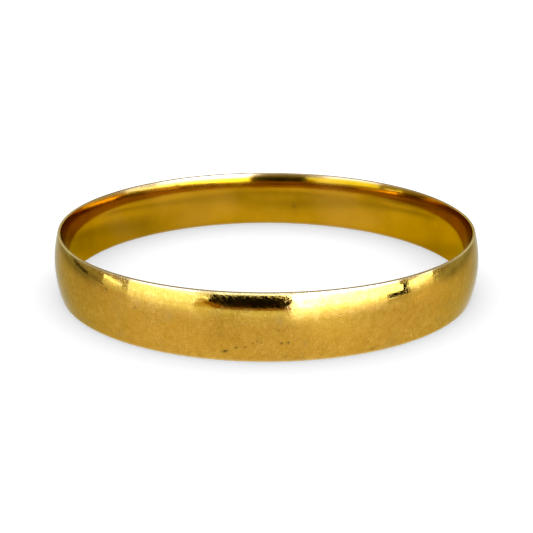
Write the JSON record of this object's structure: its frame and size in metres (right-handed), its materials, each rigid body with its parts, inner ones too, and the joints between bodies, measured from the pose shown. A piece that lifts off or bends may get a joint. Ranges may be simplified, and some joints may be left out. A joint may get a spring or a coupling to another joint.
{
  "type": "bangle bracelet",
  "caption": "Closed slip-on bangle: a domed outer ring and a bowed inner ring soldered together along both thin rims, with a hollow wall between them.",
  "frame": {"origin": "on the bangle's axis, at the level of the lower rim that it rests on", "axes": "+Z along the bangle's axis, upwards from the lower rim; +X to the right and +Y away from the viewer when the front is seen"},
  "size_m": [0.068, 0.068, 0.01],
  "materials": {
    "outer_gold": "polished yellow gold tone, worn to a fine satin with small pits and scratches",
    "inner_gold": "polished deep gold tone, lightly rubbed, less worn than the outside",
    "rim_solder": "paler gold solder, rubbed down flush with the rim",
    "joint_solder": "paler gold solder, polished flush with the sheet"
  },
  "bodies": {
    "root": {"outer_shell": "outer_gold", "inner_liner": "inner_gold", "upper_rim_solder": "rim_solder", "lower_rim_solder": "rim_solder", "shell_closing_solder": "joint_solder", "liner_closing_solder": "joint_solder"}
  },
  "joints": []
}
